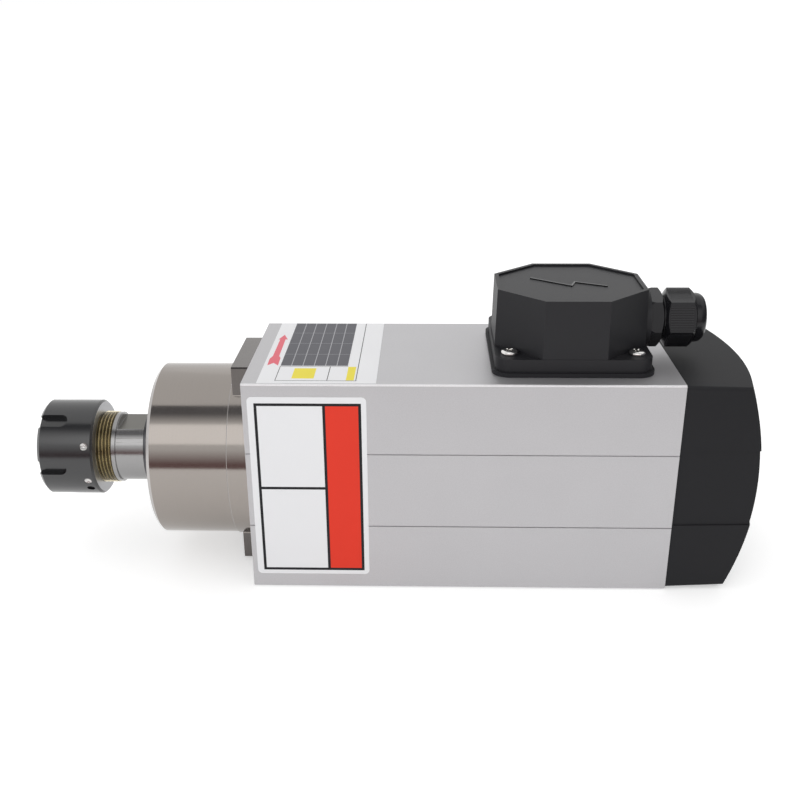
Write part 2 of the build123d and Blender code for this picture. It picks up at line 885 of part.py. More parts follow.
def gland_body():
    thread_start = inner_wall_x() - gland_locknut_length - 1.0
    body = turned_hexagon(
        gland_collar_start, gland_collar_end, gland_boss_radius, gland_hex_turned_radius
    )
    body += gland_bar(gland_thread_radius, thread_start, gland_collar_start)
    body += gland_bar(gland_neck_radius, gland_collar_end, gland_seal_start)
    body -= gland_bar(gland_bore_radius, thread_start, gland_seal_start)
    return body


def gland_lock_nut():
    end = inner_wall_x() - slip_fit
    nut = hexagon_x(gland_locknut_radius, end - gland_locknut_length, end)
    nut -= gland_bar(gland_thread_radius + thread_gap, end - gland_locknut_length, end)
    return nut


def gland_seal():
    end = gland_seal_start + gland_seal_length
    seal = gland_bar(gland_seal_radius, gland_seal_start, end)
    seal -= gland_bar(gland_cable_radius, gland_seal_start, end)
    return seal


def gland_dome_nut():
    neck_bore = gland_neck_radius + thread_gap
    hex_end = gland_nut_start + gland_nut_hex_length
    dome = turned(
        [
            (hex_end, neck_bore),
            (hex_end, gland_dome_radius),
            (gland_nut_end, gland_dome_radius),
            (gland_nut_end, gland_mouth_radius),
            (gland_seal_start + gland_seal_length + thread_gap, gland_mouth_radius),
            (gland_seal_start + gland_seal_length + thread_gap, neck_bore),
        ],
        gland_axis_height,
    )
    end_edges = dome.edges().filter_by(GeomType.CIRCLE).sort_by(Axis.X)[-2:]
    dome = fillet(end_edges.sort_by(SortBy.RADIUS)[-1], gland_dome_edge)
    nut = turned_hexagon(gland_nut_start, hex_end, gland_hex_turned_radius, gland_dome_radius)
    nut -= gland_bar(neck_bore, gland_nut_start, hex_end)
    return nut + dome


# ---- every piece, by the name of its node --------------------------------------------
pieces = {
    "motor_body": motor_body(),
    "front_bearing_housing": front_bearing_housing(),
    "front_seal_cap": front_seal_cap(),
    "tie_bolts": tie_bolts(),
    "rear_end_shield": rear_end_shield(),
    "front_bearing_outer_rings": front_bearing_outer_rings(),
    "front_bearing_inner_rings": front_bearing_inner_rings(),
    "front_ball_cages": front_ball_cages(),
    "bearing_retainer": bearing_retainer(),
    "bearing_lock_nut": bearing_lock_nut(),
    "rear_bearing_outer_ring": bearing_outer(
        rear_bearing_radius, rear_bearing_front, rear_bearing_rear
    ),
    "rear_bearing_inner_ring": bearing_inner(
        rear_bearing_bore_radius, rear_bearing_front, rear_bearing_rear
    ),
    "rear_ball_cage": ball_cage(
        rear_bearing_bore_radius, rear_bearing_radius, rear_bearing_front, rear_bearing_rear
    ),
    "wave_spring": wave_spring(),
    "stator_core": stator_core(),
    "stator_windings": stator_windings(),
    "rotor_core": rotor_core(),
    "rotor_end_rings": rotor_end_rings(),
    "spindle_shaft": spindle_shaft(),
    "collet": collet(),
    "collet_nut": collet_nut(),
    "cooling_fan": cooling_fan(),
    "fan_clip": fan_clip(),
    "rear_fan_cover": rear_fan_cover(),
    "cover_screws": cover_screws(),
    "terminal_box_gasket": terminal_box_gasket(),
    "terminal_box_cover": terminal_box_cover(),
    "box_screws": box_screws(),
    "terminal_block": terminal_block(),
    "gland_body": gland_body(),
    "gland_lock_nut": gland_lock_nut(),
    "gland_seal": gland_seal(),
    "gland_dome_nut": gland_dome_nut(),
}

os.makedirs("parts", exist_ok=True)
for name, piece in pieces.items():
    export_step(piece, f"parts/{name}.step")
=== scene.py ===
"""Finishes and small parts for the square motor spindle: metal and plastic finishes, the
chuck's thread, the plates on the body, the terminal box's screws and sign, the ribs of
the cable gland, the stepped seal cap and the balance marks of the collet nut."""

import math

import bmesh
import bpy
from mathutils import Matrix, Vector


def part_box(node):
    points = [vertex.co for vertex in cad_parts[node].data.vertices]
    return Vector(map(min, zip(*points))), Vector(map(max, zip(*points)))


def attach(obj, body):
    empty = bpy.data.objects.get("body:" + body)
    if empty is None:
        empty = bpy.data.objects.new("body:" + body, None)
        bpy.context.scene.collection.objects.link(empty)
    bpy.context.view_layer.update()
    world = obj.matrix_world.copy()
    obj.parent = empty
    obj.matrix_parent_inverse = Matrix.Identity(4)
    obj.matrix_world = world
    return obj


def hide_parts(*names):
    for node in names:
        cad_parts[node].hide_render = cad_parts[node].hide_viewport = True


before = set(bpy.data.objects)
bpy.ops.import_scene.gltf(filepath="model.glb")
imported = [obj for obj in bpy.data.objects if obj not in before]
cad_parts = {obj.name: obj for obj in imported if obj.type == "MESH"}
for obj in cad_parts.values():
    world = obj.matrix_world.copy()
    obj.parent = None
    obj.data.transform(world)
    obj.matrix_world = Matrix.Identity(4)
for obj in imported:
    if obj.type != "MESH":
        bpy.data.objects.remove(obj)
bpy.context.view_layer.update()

bl_info = {
    "name": "Motor Spindle Finishes",
    "version": (1, 0, 0),
    "blender": (4, 5, 0),
    "location": "View3D > Sidebar > Spindle",
    "description": "Finishes and small parts for a square motor spindle",
    "category": "Object",
}

MM = 0.001
QUARTER = math.pi / 2
WHITE = (1, 1, 1, 1)

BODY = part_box("motor_body")
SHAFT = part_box("spindle_shaft")
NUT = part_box("collet_nut")
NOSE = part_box("front_bearing_housing")
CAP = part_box("front_seal_cap")
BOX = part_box("terminal_box_cover")
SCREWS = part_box("box_screws")
GLAND_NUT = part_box("gland_dome_nut")

BODY_NEAR = BODY[0].y
BODY_TOP = BODY[1].z
ROTOR_HEIGHT = (SHAFT[0].z + SHAFT[1].z) / 2
NOSE_FRONT = NOSE[0].x
DISC_FRONT = -97.2 * MM
COLLAR_FRONT = -152.2 * MM
GLAND_HEIGHT = (GLAND_NUT[0].z + GLAND_NUT[1].z) / 2
RIBS_MIDDLE = GLAND_NUT[0].x + 6.3 * MM
BOX_CENTRE_X = (SCREWS[0].x + SCREWS[1].x) / 2
BOX_PANEL = BOX[1].z - 0.8 * MM
SEAL_BORE, SEAL_BEVEL = 16.4 * MM, 0.3 * MM
CREST_DEPTH, ROOT_SHARE = 0.46 * MM, 0.86
CLOUDS_PER_METRE, SPECKS_PER_METRE, SMEARS_PER_METRE = 34.0, 2600.0, 55.0

# The box screws. The head's profile is in shares of its radius and height.
SCREW_SEAT = SCREWS[1].z - 2.35 * MM
SCREW_FOOT = SCREWS[0].z + 0.1 * MM - SCREW_SEAT
SHANK_RADIUS = 1.9 * MM
HEAD_LOW, HEAD_LOW_SHARE, HEAD_SIDE = 0.02 * MM, 0.97, 0.30 * MM
SOLID_HEAD_WIDTH = 7.0 * MM
PAN_HEAD = ((0.985, 0.50), (0.92, 0.74), (0.76, 0.91), (0.50, 0.98))
RECESS_FLOOR_SHARE = 0.45

# The nut's balance marks. The profile's heights are over the floor of a mark.
MARK_ANGLES = (67, 113)
MARK_X = NUT[1].x - 3.5 * MM
MARK_FLOOR = NUT[1].z - ROTOR_HEIGHT - 1.15 * MM
MARK_PROFILE = ((0, 0), (1.0 * MM, 0.25 * MM), (1.62 * MM, 0.95 * MM))

# Plates and prints in millimetres: left, low, right, high. Left to right runs along X, low
# to high up the side or along Y.
SIDE_PLATE = (-86.1, 6.4, -38.2, 87.6)
SIDE_FRAME = (-83.4, 8.2, -40.3, 84.9)
SIDE_SPLIT, SIDE_MIDDLE = -55.3, 47.2
TOP_PLATE = (-82.0, -39.9, -34.2, 39.9)
TOP_CORNER = 0.3
TABLE_GROUND = (-74.8, -19.4, -47.0, 39.3)
TABLE_CENTRE = (-60.9, 10.0)
TABLE_CELLS = {"Columns": 6, "Rows": 4, "Gap": 0.36 * MM}
TABLE_CELLS |= {"Cell X": 4.36 * MM, "Cell Y": 14.4 * MM}
TOP_LINES = (
    (-75.0, -37.1, -74.75, -20.4), (-54.2, -36.8, -53.9, -20.4), (-75.0, -20.4, -46.6, -20.15),
    (-75.0, -37.3, -42.2, -37.0), (-42.6, -37.0, -42.3, 39.0),
)
TOP_BLOCKS = ((-46.5, -36.7, -43.3, -20.6), (-68.6, -34.6, -59.6, -22.6))
ARROW = (
    (-78.5, 22.2), (-80.4, 15.5), (-79.7, 15.5), (-79.8, -7.0), (-80.7, -11.0), (-80.5, -19.0),
    (-78.3, -16.0), (-76.0, -19.2), (-76.2, -10.0), (-77.1, -7.0), (-77.3, 15.5), (-76.3, 15.5),
)

# The sign on the box, in millimetres from the box's middle.
SIGN_PATH = ((-15.5, 7.3), (0.4, -4.9), (2.4, 1.0), (15.1, -5.5))
SIGN_HALF_WIDTH = 0.38
SIGN_LOW, SIGN_HIGH = -0.1 * MM, 0.45 * MM
MITRE_LIMIT = 2.2

FLOOR_SIZE, FLOOR_HEIGHT, FLOOR_GLOW = 30.0, -0.0005, 0.42
WORLD_LIGHT = 0.90
LAMP_TARGET = Vector((0, 0, 0.06))
# A lamp: name, place, size, power, whether reflections show it.
LAMPS = (
    ("key_lamp", (-0.20, -1.06, 0.84), 0.95, 1.57, True),
    ("fill_lamp", (-0.60, -1.20, 0.25), 1.0, 3.3, False),
    ("back_lamp", (0.10, 1.25, 0.75), 1.2, 0.3, True),
)
# A card: name, axis across it, level there, corners, axis of its fade, the fade's ends and
# the colour of the dark end.
CARDS = (
    ("overhead_card", 2, 1.0, (-1.5, -0.72, 1.2, -0.185), "Y", (-0.4, -0.7), (0.19, 0.19, 0.2)),
    ("front_card", 1, -0.6, (-1.6, -0.01, 1.6, 0.35), "Z", (0.06, 0.27), (0.25, 0.15, 0.15)),
    ("right_card", 0, 0.55, (-0.60, -0.01, 0.80, 0.60), "Z", (0.20, 0.60), (0.10, 0.10, 0.11)),
)
CAMERA_PLACE = (-0.013781, -0.421303, 0.235964)
CAMERA_DEGREES = (66.33666, 0.31892, 1.52084)
CAMERA = {
    "sensor_width": 36.0, "lens": 46.2304, "shift_y": 0.04982, "clip_start": 0.01,
    "clip_end": 20.0,
}


# ---- settings ----------------------------------------
def length(name, description, millimetres):
    """A length setting, stored in metres."""
    return bpy.props.FloatProperty(
        name=name, description=description, default=millimetres * MM, precision=5,
        subtype="DISTANCE", unit="LENGTH",
    )


def colour(name, description, rgb):
    """A colour setting, in linear light."""
    return bpy.props.FloatVectorProperty(
        name=name, description=description, default=rgb, size=3, min=0, max=1, subtype="COLOR"
    )


def factor(name, description, value):
    """A share from 0 to 1."""
    return bpy.props.FloatProperty(
        name=name, description=description, default=value, min=0, max=1, subtype="FACTOR"
    )


class SPINDLE_PG_finishes(bpy.types.PropertyGroup):
    body_colour: colour("Body", "Blasted aluminium of the square body", (0.495, 0.488, 0.500))
    # Painted highlight along the body's two long top edges.
    edge_highlight_colour: colour("Body edge highlight", "Painted highlight along the long edges of the body's top", (0.92, 0.91, 0.92))
    body_roughness: factor("Body roughness", "Roughness of the blasted aluminium", 0.42)
    nose_colour: colour("Nose", "Plated steel of the round nose", (0.318, 0.290, 0.268))
    nose_roughness: factor("Nose roughness", "Roughness of the turned nose", 0.13)
    # Painted highlight on the nose's turned edges.
    rim_highlight_colour: colour("Rim", "Painted highlight on the nose's turned edges", (0.45, 0.43, 0.42))
    # Painted shade over the flange's tab.
    tab_shade_colour: colour("Tab", "Painted shade over the flange's tab", (0.135, 0.124, 0.118))
    shaft_colour: colour("Shaft", "Ground steel of the shaft", (0.310, 0.306, 0.306))
    flat_colour: colour("Wrench flats", "Dull steel of the wrench flats", (0.135, 0.130, 0.116))
    # Painted highlight on the thread's crests.
    crest_highlight_colour: colour("Crests", "Painted highlight on the chuck thread's crests", (0.88, 0.81, 0.63))
    # Oil and painted shade in the thread's grooves.
    groove_oil_and_shade_colour: colour("Grooves", "Oil and painted shade in the chuck thread's grooves", (0.062, 0.050, 0.027))
    nut_colour: colour("Collet nut", "Black oxide of the collet nut", (0.0045, 0.0045, 0.0060))
    face_colour: colour("Nut face", "Machined rear face of the collet nut", (0.34, 0.34, 0.35))
    hub_radius: length("Seal hub", "Radius of the seal cap's hub before the nose", 17.2)
    cap_colour: colour("Seal cap", "Dark turned steel of the seal cap", (0.10, 0.10, 0.105))
    cover_colour: colour("Cover", "Black plastic of the rear cover", (0.0118, 0.0118, 0.0138))
    box_colour: colour("Box", "Black plastic of the terminal box", (0.0108, 0.0108, 0.0132))
    gland_colour: colour("Gland", "Black nylon of the cable gland", (0.0100, 0.0100, 0.0118))


class SPINDLE_PG_thread(bpy.types.PropertyGroup):
    pitch: length("Pitch", "Axial distance from one crest to the next", 1.5)
    crest_radius: length("Crest radius", "Radius at the crests", 15.72)
    depth: length("Depth", "Height of the ridge", 0.62)
    crest_width: length("Crest width", "Flat width along a crest", 0.22)
    front: length("Front end", "Where the ridge starts along the rotor axis", -173.6)
    rear: length("Rear end", "Where the ridge runs out at the collar", -152.6)


class SPINDLE_PG_plates(bpy.types.PropertyGroup):
    thickness: length("Film thickness", "Thickness of a plate's film", 0.14)
    print_thickness: length("Print thickness", "Height of the print over the film", 0.03)
    corner_radius: length("Corner radius", "Corner radius of the side plate", 2.0)
    frame_width: length("Frame width", "Width of the printed frame lines", 1.15)
    film_colour: colour("Film", "Pale film", (0.77, 0.77, 0.785))
    line_colour: colour("Lines", "Dark print", (0.016, 0.016, 0.018))
    panel_colour: colour("Panel", "Red panel", (0.72, 0.045, 0.025))
    arrow_colour: colour("Arrow", "Red direction arrow", (0.73, 0.125, 0.165))
    grid_colour: colour("Table", "Grey cells of the table", (0.088, 0.088, 0.102))
    ground_colour: colour("Table lines", "Grey lines between the cells", (0.40, 0.40, 0.42))
    block_colour: colour("Block", "Yellow blocks", (0.80, 0.68, 0.035))


class SPINDLE_PG_screws(bpy.types.PropertyGroup):
    head_radius: length("Head radius", "Radius of a pan head", 3.45)
    head_height: length("Head height", "Height of a pan head", 1.8)
    recess_radius: length("Recess radius", "Reach of the cross recess", 2.0)
    recess_width: length("Recess width", "Width of a wing of the recess", 0.85)
    recess_depth: length("Recess depth", "Depth of the cross recess", 1.3)


class SPINDLE_PG_gland(bpy.types.PropertyGroup):
    across_flats: length("Across flats", "Width of the dome nut over its flats", 21.48)
    rib_width: length("Rib width", "Width of one grip rib", 0.50)
    rib_height: length("Rib height", "Height of one grip rib", 0.09)
    rib_length: length("Rib length", "Length of one grip rib", 9.4)
    rib_count: bpy.props.IntProperty(
        name="Ribs on a flat", description="Grip ribs on each flat", default=10, min=1
    )
    tilt: bpy.props.FloatProperty(
        name="Tilt", description="How far a flat leans up from the upright",
        default=math.radians(15.5), subtype="ANGLE", unit="ROTATION",
    )


# ---- mesh helpers ------------------------------------
def add_object(name, data):
    """A new object of that data in the scene."""
    thing = bpy.data.objects.new(name, data)
    bpy.context.scene.collection.objects.link(thing)
    return thing


def add_piece(name, mesh, material=None, smooth_angle=None):
    """A piece of that mesh, smooth where faces meet at less than smooth_angle degrees."""
    mesh.name = name
    if smooth_angle is None:
        mesh.shade_flat()
    else:
        mesh.shade_smooth()
        mesh.set_sharp_from_angle(angle=math.radians(smooth_angle))
    if material:
        mesh.materials.append(material)
    return add_object(name, mesh)


def finish_bmesh(name, bm, material=None, smooth_angle=None):
    """Turns a bmesh into a piece with its faces outward."""
    bmesh.ops.remove_doubles(bm, verts=bm.verts, dist=1e-7)
    bmesh.ops.recalc_face_normals(bm, faces=bm.faces)
    mesh = bpy.data.meshes.new(name)
    bm.to_mesh(mesh)
    bm.free()
    return add_piece(name, mesh, material, smooth_angle)


def rectangle(x0, y0, x1, y1):
    """The corners of a rectangle, counter-clockwise."""
    return [(x0, y0), (x1, y0), (x1, y1), (x0, y1)]


def rounded_outline(x0, y0, x1, y1, radius, steps=6):
    """Corner points of a rectangle with rounded corners, counter-clockwise."""
    centres = rectangle(x0 + radius, y0 + radius, x1 - radius, y1 - radius)
    points = []
    for quarter, (cx, cy) in enumerate(centres[2:] + centres[:2]):
        for i in range(steps + 1):
            angle = QUARTER * (quarter + i / steps)
            points.append((cx + radius * math.cos(angle), cy + radius * math.sin(angle)))
    return points


def add_slab(bm, outline, low, high, place):
    """Adds a flat slab, open below, to bm. Its outline is in millimetres.

    place takes (u, v, height) in metres to a point in the frame."""
    upper = [bm.verts.new(place(u * MM, v * MM, high)) for u, v in outline]
    edges = [bm.edges.new((upper[i - 1], upper[i])) for i in range(len(upper))]
    bmesh.ops.triangle_fill(bm, edges=edges, use_beauty=True)
    lower = [bm.verts.new(place(u * MM, v * MM, low)) for u, v in outline]
    for i in range(len(upper)):
        bm.faces.new((upper[i - 1], upper[i], lower[i], lower[i - 1]))


def on_side(u, v, height):
    """A point on the body's near side: u along X, v up, height out of the side."""
    return (u, BODY_NEAR - height, v)


def on_top(u, v, height):
    """A point on the body's top: u along X, v along Y, height above the top."""
    return (u, v, BODY_TOP + height)


def on_panel(u, v, height):
    """A point on the terminal box's panel, measured from the box's middle."""
    return (BOX_CENTRE_X + u, v, BOX_PANEL + height)


def lathe(bm, profile, segments, matrix=Matrix()):
    """Turns (radius, z) points about Z and moves them by matrix."""
    rings = []
    for radius, z in profile:
        count = segments if radius else 1
        angles = [2 * math.pi * i / segments for i in range(count)]
        points = [(radius * math.cos(a), radius * math.sin(a), z) for a in angles]
        rings.append([bm.verts.new(matrix @ Vector(point)) for point in points])
    for lower, upper in zip(rings, rings[1:]):
        for i in range(segments):
            j = (i + 1) % segments
            face = [lower[i % len(lower)], lower[j % len(lower)]]
            face += [upper[j % len(upper)], upper[i % len(upper)]]
            face = list(dict.fromkeys(face))
            if len(face) > 2:
                bm.faces.new(face)


def lay(x, height, *turns):
    """Moves to (x, 0, height) after some turns: angle and axis, the last one first."""
    matrix = Matrix.Translation((x, 0, height))
    for angle, axis in turns:
        matrix = matrix @ Matrix.Rotation(angle, 4, axis)
    return matrix


# ---- node helpers ------------------------------------
SOCKETS = {float: "NodeSocketFloat", int: "NodeSocketInt", tuple: "NodeSocketColor"}


def add_sockets(tree, in_out, sockets):
    """Adds sockets by name, each with a default or, where it has none, with its type."""
    for name, value in sockets.items():
        kind = value if isinstance(value, str) else SOCKETS[type(value)]
        socket = tree.interface.new_socket(name, in_out=in_out, socket_type=kind)
        if kind != value:
            socket.default_value = value


def fill(node, values):
    """Links or sets inputs of a node. A node among the values gives its first output."""
    for name, value in dict(values).items():
        if isinstance(value, bpy.types.Node):
            value = value.outputs[0]
        if isinstance(value, bpy.types.NodeSocket):
            node.id_data.links.new(value, node.inputs[name])
        else:
            node.inputs[name].default_value = value
    return node


def add_node(tree, kind, values=(), **settings):
    """Adds a node: settings are its properties, values go to its inputs."""
    node = tree.nodes.new(kind)
    for key, value in settings.items():
        setattr(node, key, value)
    return fill(node, values)


def maths(tree, operation, *values, clamp=False):
    """The result of a Math node on sockets or numbers."""
    settings = {"operation": operation, "use_clamp": clamp}
    return add_node(tree, "ShaderNodeMath", enumerate(values), **settings).outputs[0]


def mix(tree, kind, mask, first, second):
    """Mixes two colours, kind RGBA, or two numbers, kind FLOAT, by a mask."""
    a, b, result = (6, 7, 2) if kind == "RGBA" else (2, 3, 0)
    node = add_node(tree, "ShaderNodeMix", {0: mask, a: first, b: second}, data_type=kind)
    return node.outputs[result]


def vector(tree, **axes):
    """A vector from sockets or numbers for X, Y and Z."""
    return add_node(tree, "ShaderNodeCombineXYZ", axes)


def split_place(tree):
    """The place on the object: as a vector, and its X, Y and Z."""
    place = add_node(tree, "ShaderNodeTexCoord").outputs["Object"]
    return place, add_node(tree, "ShaderNodeSeparateXYZ", {0: place}).outputs


def geometry_tree(name, inputs):
    """A Geometry Nodes tree: the tree, its inputs' sockets and its last node."""
    tree = bpy.data.node_groups.new(name, "GeometryNodeTree")
    tree.is_modifier = True
    geometry = {"Geometry": "NodeSocketGeometry"}
    add_sockets(tree, "INPUT", geometry | inputs | {"Material": "NodeSocketMaterial"})
    add_sockets(tree, "OUTPUT", geometry)
    return tree, tree.nodes.new("NodeGroupInput").outputs, tree.nodes.new("NodeGroupOutput")


def end_tree(tree, given, end, geometry):
    """Closes a tree with Realize Instances and Set Material."""
    real = add_node(tree, "GeometryNodeRealizeInstances", {"Geometry": geometry})
    values = {"Geometry": real, "Material": given["Material"]}
    fill(end, {0: add_node(tree, "GeometryNodeSetMaterial", values)})
    return tree


def grow(name, tree, values, matrix, smooth_angle=None):
    """Runs a tree on an empty mesh and returns the result, moved by matrix, as a piece."""
    source = add_object(name + "_source", bpy.data.meshes.new(name + "_source"))
    modifier = source.modifiers.new("Build", "NODES")
    modifier.node_group = tree
    for item in tree.interface.items_tree:
        if item.in_out == "INPUT" and item.name in values:
            modifier[item.identifier] = values[item.name]
    source.update_tag()
    depsgraph = bpy.context.evaluated_depsgraph_get()
    depsgraph.update()
    mesh = bpy.data.meshes.new_from_object(source.evaluated_get(depsgraph))
    source.modifiers.remove(modifier)
    bpy.data.objects.remove(source)
    mesh.transform(matrix)
    return add_piece(name, mesh, smooth_angle=smooth_angle)


# ---- shader groups -----------------------------------
def shader_tree(name, inputs, outputs):
    """A shader node group: the tree, its inputs' sockets and its last node.

    The last two are None when the group is there already."""
    if name in bpy.data.node_groups:
        return bpy.data.node_groups[name], None, None
    tree = bpy.data.node_groups.new(name, "ShaderNodeTree")
    add_sockets(tree, "INPUT", inputs)
    add_sockets(tree, "OUTPUT", outputs)
    return tree, tree.nodes.new("NodeGroupInput").outputs, tree.nodes.new("NodeGroupOutput")


def surface_group(name, numbers, second, texture):
    """A group of a surface's colour, roughness and height. numbers are its other inputs.

    texture gives the marks, a texture whose spread second names, and the roughness's."""
    grey = {"Colour": (0.5, 0.5, 0.5, 1)}
    outputs = {"Colour": SOCKETS[tuple], "Roughness": SOCKETS[float], "Height": SOCKETS[float]}
    tree, given, end = shader_tree(name, grey | numbers, outputs)
    if given is None:
        return tree
    marks, clouds, gloss = texture(tree, given)

    def spread(value, amount, start):
        centred = maths(tree, "SUBTRACT", value, 0.5)
        return maths(tree, "MULTIPLY_ADD", centred, given[amount], start)

    gain = spread(clouds, second, spread(marks, "Colour Spread", 1.0))
    scaled = {0: given["Colour"], "Scale": gain}
    tint = add_node(tree, "ShaderNodeVectorMath", scaled, operation="SCALE")
    rough = spread(gloss, "Roughness Spread", given["Roughness"])
    fill(end, {"Colour": tint, "Roughness": rough, "Height": marks})
    return tree


def noise(tree, **inputs):
    """A noise texture. W in place of Vector makes it a texture of one dimension."""
    dimensions = "1D" if "W" in inputs else "3D"
    return add_node(tree, "ShaderNodeTexNoise", inputs, noise_dimensions=dimensions)


def grain_group():
    """Even grain of a blasted or moulded surface, with wide soft clouds."""

    def texture(tree, given):
        place, _ = split_place(tree)
        scale = given["Grains per Metre"]
        grain = noise(tree, Vector=place, Scale=scale, Detail=3.0, Roughness=0.62)
        return grain, noise(tree, Vector=place, Scale=CLOUDS_PER_METRE, Detail=2.0), grain

    numbers = {
        "Colour Spread": 0.08, "Roughness": 0.5, "Roughness Spread": 0.06,
        "Grains per Metre": 2500.0, "Cloud Spread": 0.05,
    }
    return surface_group("Surface Grain", numbers, "Cloud Spread", texture)


def turning_group():
    """Tool marks of a turned surface: fine rings along the turning axis X, and grain."""

    def texture(tree, given):
        place, axes = split_place(tree)
        rings = noise(tree, W=axes["X"], Scale=given["Rings per Metre"], Detail=2.0)
        grain = noise(tree, Vector=place, Scale=SPECKS_PER_METRE, Detail=2.0)
        return rings, grain, noise(tree, Vector=place, Scale=SMEARS_PER_METRE, Detail=3.0)

    numbers = {
        "Colour Spread": 0.10, "Roughness": 0.3, "Roughness Spread": 0.10,
        "Rings per Metre": 3000.0, "Grain Spread": 0.08,
    }
    return surface_group("Turning Marks", numbers, "Grain Spread", texture)


def band_group():
    """1 between two places along X, between two distances from a line along X.

    The line stands at Line Height, and at Line Across on both sides of the middle."""
    numbers = {
        "From X": -1.0, "To X": 1.0, "From Distance": -1.0, "To Distance": 1.0,
        "Line Height": 0.0, "Line Across": 0.0, "Edge": 0.00005,
    }
    tree, given, end = shader_tree("Band Mask", numbers, {"Mask": SOCKETS[float]})
    if given is None:
        return tree
    _, axes = split_place(tree)
    height = maths(tree, "SUBTRACT", axes["Z"], given["Line Height"])
    aside = maths(tree, "ABSOLUTE", axes["Y"])
    aside = maths(tree, "SUBTRACT", aside, given["Line Across"])
    across = {0: vector(tree, Y=aside, Z=height)}
    reach = add_node(tree, "ShaderNodeVectorMath", across, operation="LENGTH").outputs["Value"]
    mask = 1.0
    for value, limit in ((axes["X"], "X"), (reach, "Distance")):
        low, high = given["From " + limit], given["To " + limit]
        for first, second in ((value, low), (high, value)):
            inside = maths(tree, "SUBTRACT", first, second)
            ramp = maths(tree, "DIVIDE", inside, given["Edge"], clamp=True)
            mask = maths(tree, "MULTIPLY", mask, ramp)
    fill(end, {"Mask": mask})
    return tree


# ---- finishes ----------------------------------------
def new_material(name):
    """A new material with nodes, and its tree."""
    material = bpy.data.materials.new(name)
    material.use_nodes = True
    return material, material.node_tree


def finish(
    name, group, tint, roughness, metallic=0.0, specular=0.5, bump=0.0, distance=0.02 * MM,
    bands=(), **inputs,
):
    """A material whose Principled shader is fed by one of the groups above.

    Each of bands comes from band() and covers the finish there with a fully metallic colour and
    roughness of its own: painted highlights and painted shade for some bands, a real change of
    finish for others. inputs are other inputs of the group, with _ for a space."""
    if name in bpy.data.materials:
        return bpy.data.materials[name]
    material, tree = new_material(name)
    values = {key.replace("_", " "): value for key, value in inputs.items()}
    values |= {"Colour": (*tint, 1), "Roughness": roughness}
    surface = add_node(tree, "ShaderNodeGroup", values, node_tree=group)
    base, rough, metal = surface.outputs["Colour"], surface.outputs["Roughness"], metallic
    for places, band_tint, band_roughness in bands:
        mask = add_node(tree, "ShaderNodeGroup", places, node_tree=band_group())
        values |= {"Colour": (*band_tint, 1), "Roughness": band_roughness}
        cover = add_node(tree, "ShaderNodeGroup", values, node_tree=group).outputs
        base = mix(tree, "RGBA", mask, base, cover["Colour"])
        rough = mix(tree, "FLOAT", mask, rough, cover["Roughness"])
        if metallic < 1.0:
            metal = mix(tree, "FLOAT", mask, metal, 1.0)
    shader = {"Base Color": base, "Roughness": rough, "Metallic": metal}
    shader["Specular IOR Level"] = specular
    if bump:
        relief = {"Height": surface.outputs["Height"], "Strength": bump, "Distance": distance}
        shader["Normal"] = add_node(tree, "ShaderNodeBump", relief)
    fill(tree.nodes["Principled BSDF"], shader)
    return material


def grained(name, tint, roughness, **more):
    """A grained material, a plain plastic unless more says otherwise."""
    return finish(name, grain_group(), tint, roughness, **more)


def turned_steel(name, tint, roughness, **more):
    """A turned metal material."""
    return finish(name, turning_group(), tint, roughness, metallic=1.0, **more)


def band(tint, roughness, line_height=ROTOR_HEIGHT, **limits):
    """A band for finish. limits are other inputs of the mask, with _ for a space."""
    places = {key.replace("_", " "): value for key, value in limits.items()}
    return places | {"Line Height": line_height}, tint, roughness


